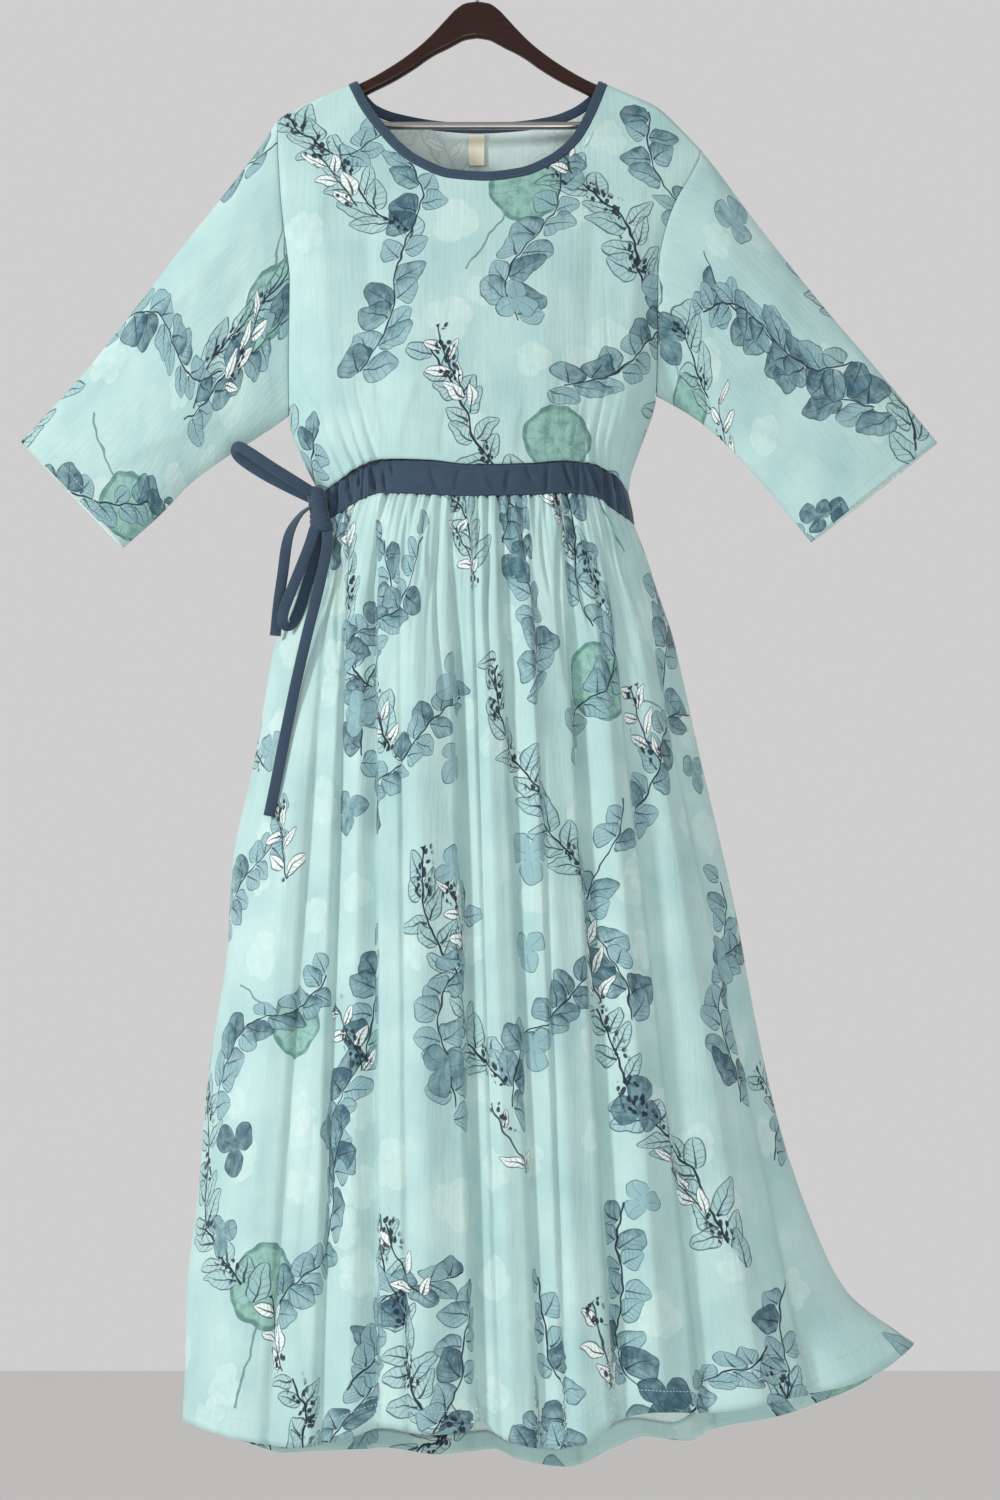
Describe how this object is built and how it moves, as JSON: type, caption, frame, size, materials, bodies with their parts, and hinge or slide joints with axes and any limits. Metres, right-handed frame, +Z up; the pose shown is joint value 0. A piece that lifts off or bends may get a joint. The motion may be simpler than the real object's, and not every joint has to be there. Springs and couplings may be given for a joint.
{
  "type": "midi dress on a coat hanger",
  "caption": "Long gathered dress with wide elbow sleeves, bound round neck and a side-tied waist casing, hanging open on a shaped wooden hanger.",
  "frame": {"origin": "inside top of the hanger's hook, where a rail carries it", "axes": "+Z up, the dress faces -Y, and +X is the viewer's right of its front"},
  "size_m": [0.927, 0.2573, 1.5528],
  "materials": {
    "bodice_front_cotton": "crinkled printed cotton",
    "bodice_back_cotton": "crinkled printed cotton",
    "casing_front_cotton": "plain dyed cotton",
    "casing_back_cotton": "plain dyed cotton",
    "skirt_front_cotton": "crinkled printed cotton",
    "skirt_back_cotton": "crinkled printed cotton",
    "sleeve_left_cotton": "crinkled printed cotton",
    "sleeve_right_cotton": "crinkled printed cotton",
    "binding_cotton": "plain dyed cotton",
    "label_ribbon": "woven ribbon, bare",
    "knot_cotton": "plain dyed cotton",
    "tie_loop_upper_cotton": "plain dyed cotton",
    "tie_loop_lower_cotton": "plain dyed cotton",
    "tie_tail_short_cotton": "plain dyed cotton",
    "tie_tail_long_cotton": "plain dyed cotton",
    "stained_wood": "dark stained, satin varnish",
    "bar_steel": "satin",
    "hook_steel": "satin"
  },
  "bodies": {
    "root": {"bodice_front": "bodice_front_cotton", "bodice_back": "bodice_back_cotton", "waist_casing_front": "casing_front_cotton", "waist_casing_back": "casing_back_cotton", "skirt_front": "skirt_front_cotton", "skirt_back": "skirt_back_cotton", "sleeve_left": "sleeve_left_cotton", "sleeve_right": "sleeve_right_cotton", "neck_binding": "binding_cotton", "neck_label": "label_ribbon", "tie_knot": "knot_cotton", "tie_loop_upper": "tie_loop_upper_cotton", "tie_loop_lower": "tie_loop_lower_cotton", "tie_tail_short": "tie_tail_short_cotton", "tie_tail_long": "tie_tail_long_cotton", "hanger_body": "stained_wood", "trouser_bar": "bar_steel", "hanger_hook": "hook_steel"}
  },
  "joints": []
}
